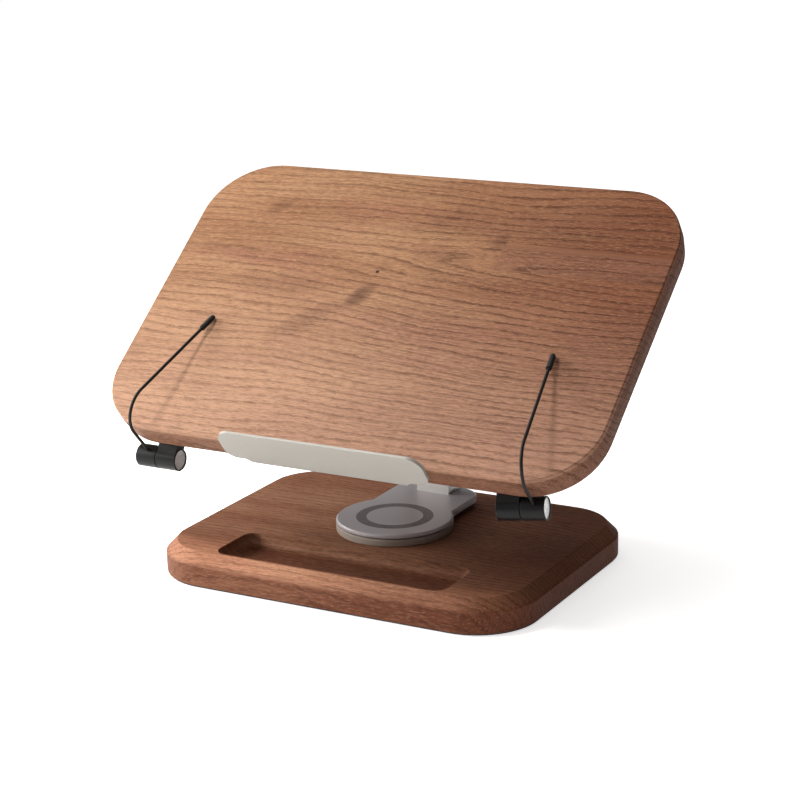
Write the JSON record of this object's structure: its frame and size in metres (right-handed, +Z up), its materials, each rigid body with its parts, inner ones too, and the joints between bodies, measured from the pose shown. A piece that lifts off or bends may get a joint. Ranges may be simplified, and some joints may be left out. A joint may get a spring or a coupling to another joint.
{
  "type": "photo album stand",
  "caption": "Adjustable tabletop stand with a round-cornered wooden board, metal ledge, wire page clips, a two-hinge arm and a turning wooden base with a pen groove.",
  "frame": {"origin": "centre of the base's underside, on the surface the stand stands on", "axes": "+Z up, +X to the reader's right along the board's width, -Y towards the reader"},
  "size_m": [0.34, 0.1963, 0.2329],
  "materials": {
    "walnut_board": "satin oiled walnut",
    "walnut_base": "satin oiled walnut",
    "grip": "matt black",
    "disc_metal": "satin turned",
    "plate_metal": "satin with a bright bevel",
    "inlay": "satin dark grey",
    "ledge_metal": "satin with bright edges",
    "arm_metal": "satin",
    "block_metal": "satin",
    "steel": "turned",
    "screw_steel": "black oxide",
    "spring_steel": "drawn wire",
    "bronze": "sintered",
    "slide_plastic": "white, low friction",
    "clip_black": "satin black",
    "wire_black": "satin black",
    "cap_silver": "fine turned face",
    "tip_rubber": "matt black"
  },
  "bodies": {
    "base": {"base_board": "walnut_base", "grip_sheet": "grip", "turntable_disc": "disc_metal", "disc_screws": "screw_steel", "slide_ring": "slide_plastic", "thrust_washer": "steel"},
    "swivel": {"swivel_plate": "plate_metal", "ring_inlay": "inlay", "pivot_post": "steel", "disc_spring": "spring_steel", "pivot_nut": "steel", "lower_hinge_block": "block_metal", "lower_hinge_bush": "bronze", "block_screws": "screw_steel"},
    "arm": {"arm": "arm_metal", "lower_hinge_pin": "steel", "upper_hinge_pin": "steel", "hinge_washers": "steel", "pin_screws": "screw_steel"},
    "board": {"reading_board": "walnut_board", "ledge_sheet": "ledge_metal", "ledge_screws": "screw_steel", "upper_hinge_block": "block_metal", "upper_hinge_bush": "bronze", "upper_block_screws": "screw_steel", "clip_mount_screws": "screw_steel", "left_clip_mount": "clip_black", "left_mount_cap": "cap_silver", "left_clip_axle": "steel", "right_clip_mount": "clip_black", "right_mount_cap": "cap_silver", "right_clip_axle": "steel"},
    "clip_left": {"left_clip_barrel": "clip_black", "left_clip_cap": "cap_silver", "left_clip_spring": "spring_steel", "left_clip_wire": "wire_black", "left_clip_tip": "tip_rubber"},
    "clip_right": {"right_clip_barrel": "clip_black", "right_clip_cap": "cap_silver", "right_clip_spring": "spring_steel", "right_clip_wire": "wire_black", "right_clip_tip": "tip_rubber"}
  },
  "joints": [
    {"name": "base_swivel", "type": "hinge", "parent": "base", "child": "swivel", "pos_m": [0, 0.0028, 0.0265], "axis": [0, 0, 1], "continuous": true},
    {"name": "arm_hinge", "type": "hinge", "parent": "swivel", "child": "arm", "pos_m": [0, 0.0633, 0.0415], "axis": [1, 0, 0], "range_deg": [-38, 15]},
    {"name": "board_hinge", "type": "hinge", "parent": "arm", "child": "board", "pos_m": [0, 0.00023, 0.12323], "axis": [-1, 0, 0], "range_deg": [-52, 84]},
    {"name": "left_clip_hinge", "type": "hinge", "parent": "board", "child": "clip_left", "pos_m": [-0.1335, -0.07182, 0.07336], "axis": [1, 0, 0], "range_deg": [0, 100], "stiffness_Nm_per_rad": 0.1, "springref_deg": -45.84},
    {"name": "right_clip_hinge", "type": "hinge", "parent": "board", "child": "clip_right", "pos_m": [0.13316, -0.06877, 0.07571], "axis": [0.9848, 0.1374, 0.1062], "range_deg": [0, 100], "stiffness_Nm_per_rad": 0.1, "springref_deg": -45.84}
  ]
}
